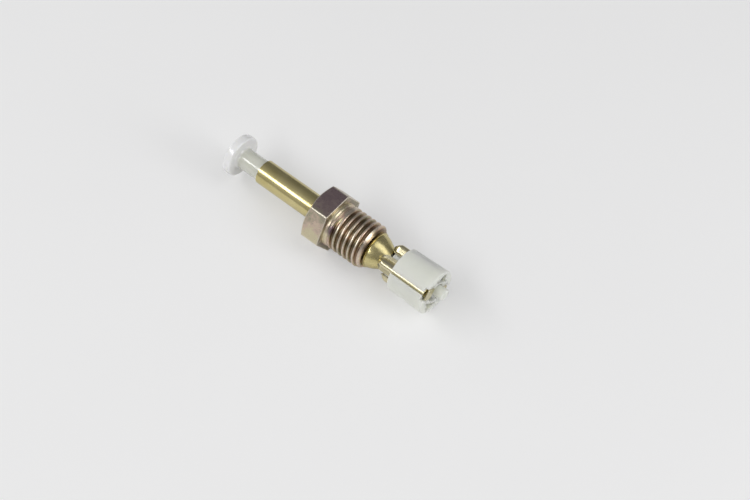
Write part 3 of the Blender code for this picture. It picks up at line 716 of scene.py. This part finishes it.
def end_cap_mesh():
    """Round plate and peg, each turned, joined, and cut by a notch and two rooms."""
    disc = [(cap_low.x, 0), (cap_low.x, CAP_RADIUS), (CAP_BACK, CAP_RADIUS), (CAP_BACK, 0)]
    plug = turned_mesh("plug", softened(disc, [0.1 * MM, 0.15 * MM]))
    pin = [(cap_low.x + 0.5 * MM, 0), (cap_low.x + 0.5 * MM, PEG), (cap_high.x, PEG), (cap_high.x, 0)]
    peg = turned_mesh("peg", softened(pin, [0.02 * MM, 0.3 * MM], 6), 64)
    shift = np.array([0, math.cos(turns[1]), math.sin(turns[1])]) * PEG_SHIFT
    peg.transform(Matrix.Translation(shift.tolist()))
    span = (cap_low.x - 0.2 * MM, CAP_BACK + 0.2 * MM)
    rooms = [plate("room", span, ROOM_HALF, (ROOM_FLOOR, PAST_RIM), turn) for turn in turns[::2]]
    notch = plate("notch", span, NOTCH_HALF, (CAP_RADIUS - NOTCH_DEPTH, PAST_RIM), NOTCH_TURN)
    cap = combined("cap", plug, "UNION", [peg])
    return combined("end_cap_moulding", cap, "DIFFERENCE", [*rooms, notch])


make_piece(end_cap_mesh(), nylon, "barrel", "end_cap")

# Pieces inside: the spring, rod and push nut are bright steel, the disc and spring seat are brass. They
# keep the solids' shapes, because the barrel and the connector close over them. The spring gets a mesh of
# its own; in the switch it closes up against its seat as the plunger is pressed in.
bright_steel, tree, shader = new_surface("bright_steel", 1.0, 0.28)
wire = grain(tree, (1.0, 1.0, 1.0), 1800, 4.0)
tint = ramp(tree, wire, [(0.3, (0.50, 0.50, 0.50)), (0.7, (0.62, 0.61, 0.60))])
tree.links.new(tint, shader.inputs["Base Color"])
tree.links.new(spread(tree, wire, 0.22, 0.38), shader.inputs["Roughness"])
coil = frame["nodes"]["return_spring"].data.copy()
coil.name = "return_spring_coil"
spring = make_piece(coil, bright_steel, "barrel", "return_spring")
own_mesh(spring)
kept = {"pull_rod": bright_steel, "push_nut": bright_steel, "contact_disc": brass, "spring_seat": brass}
for name, material in kept.items():
    mesh = frame["nodes"][name].data
    mesh.materials.clear()
    mesh.materials.append(material)

# Floor, lamps and camera: a pale table between soft boxes, in a room that is dimmer than both.
floor_mesh = bpy.data.meshes.new("table_top")
floor_mesh.from_pydata([(-3, -3, 0), (3, -3, 0), (3, 3, 0), (-3, 3, 0)], [], [(0, 1, 2, 3)])
floor = bpy.data.objects.new("table_top", floor_mesh)
bpy.context.scene.collection.objects.link(floor)
paper, tree, shader = new_surface("pale_table", 0.0, 0.6)
mottle = grain(tree, (1.0, 1.0, 1.0), 12, 3.0)
pale = ramp(tree, mottle, [(0.3, (0.93, 0.93, 0.93)), (0.7, (0.95, 0.95, 0.95))])
seen = add(tree, "LightPath").outputs["Is Camera Ray"]
share = times_plus(tree, seen, -0.34, 1.0)
color = add(tree, "VectorMath", {"operation": "SCALE"}, i0=pale, Scale=share).outputs["Vector"]
tree.links.new(color, shader.inputs["Base Color"])
tree.links.new(times_plus(tree, seen, 0.31, 0.0), shader.inputs["Emission Strength"])
floor_mesh.materials.append(paper)


def soft_box(name, direction, size, radiance, distance=0.6):
    """Lamp that faces the part from a direction; its power is pi times its radiance and area."""
    lamp = bpy.data.lights.new(name, "AREA")
    lamp.shape = "RECTANGLE"
    lamp.size, lamp.size_y = size
    lamp.energy = radiance * math.pi * size[0] * size[1]
    toward = Vector(direction).normalized()
    light = bpy.data.objects.new(name, lamp)
    light.location = toward * distance
    light.rotation_euler = toward.to_track_quat("Z", "Y").to_euler()
    bpy.context.scene.collection.objects.link(light)


soft_box("soft_box_left", (-0.42, -0.57, 0.70), (0.90, 0.13), 4.7)
soft_box("soft_box_right", (0.54, 0.24, 0.80), (0.34, 0.54), 1.3)
soft_box("soft_box_right_low", (0.88, 0.21, 0.40), (0.25, 0.22), 4.4)
world = bpy.data.worlds.new("dim_room")
world.use_nodes = True
tree = world.node_tree
sky = add(tree, "TexCoord").outputs["Generated"]
towards = add(tree, "VectorMath", {"operation": "DOT_PRODUCT"}, i0=sky, i1=(-0.45, -0.62, 0.64))
room = ramp(tree, towards.outputs["Value"], [(0.1, (0.19, 0.19, 0.195)), (0.45, (0.26, 0.26, 0.265)),
                                             (0.65, (0.32, 0.32, 0.325)), (0.85, (0.42, 0.42, 0.42))])
tree.links.new(room, tree.nodes["Background"].inputs["Color"])
bpy.context.scene.world = world

AZIMUTH = math.radians(40.16)
ELEVATION = math.radians(56.8)
DISTANCE = 0.4514
LENS = 91.2
SENSOR = 36
aim = Vector((SEAT_X + 11.52 * MM, 0, AXIS_Z))
toward = Vector((math.sin(AZIMUTH) * math.cos(ELEVATION), -math.cos(AZIMUTH) * math.cos(ELEVATION),
                 math.sin(ELEVATION)))
camera_data = bpy.data.cameras.new("camera")
camera_data.sensor_width = SENSOR
camera_data.lens = LENS
camera_data.clip_start = 0.01
camera = bpy.data.objects.new("camera", camera_data)
camera.location = aim + toward * DISTANCE
camera.rotation_euler = toward.to_track_quat("Z", "Y").to_euler()
bpy.context.scene.collection.objects.link(camera)
bpy.context.scene.camera = camera
bpy.context.scene.view_settings.view_transform = "Standard"
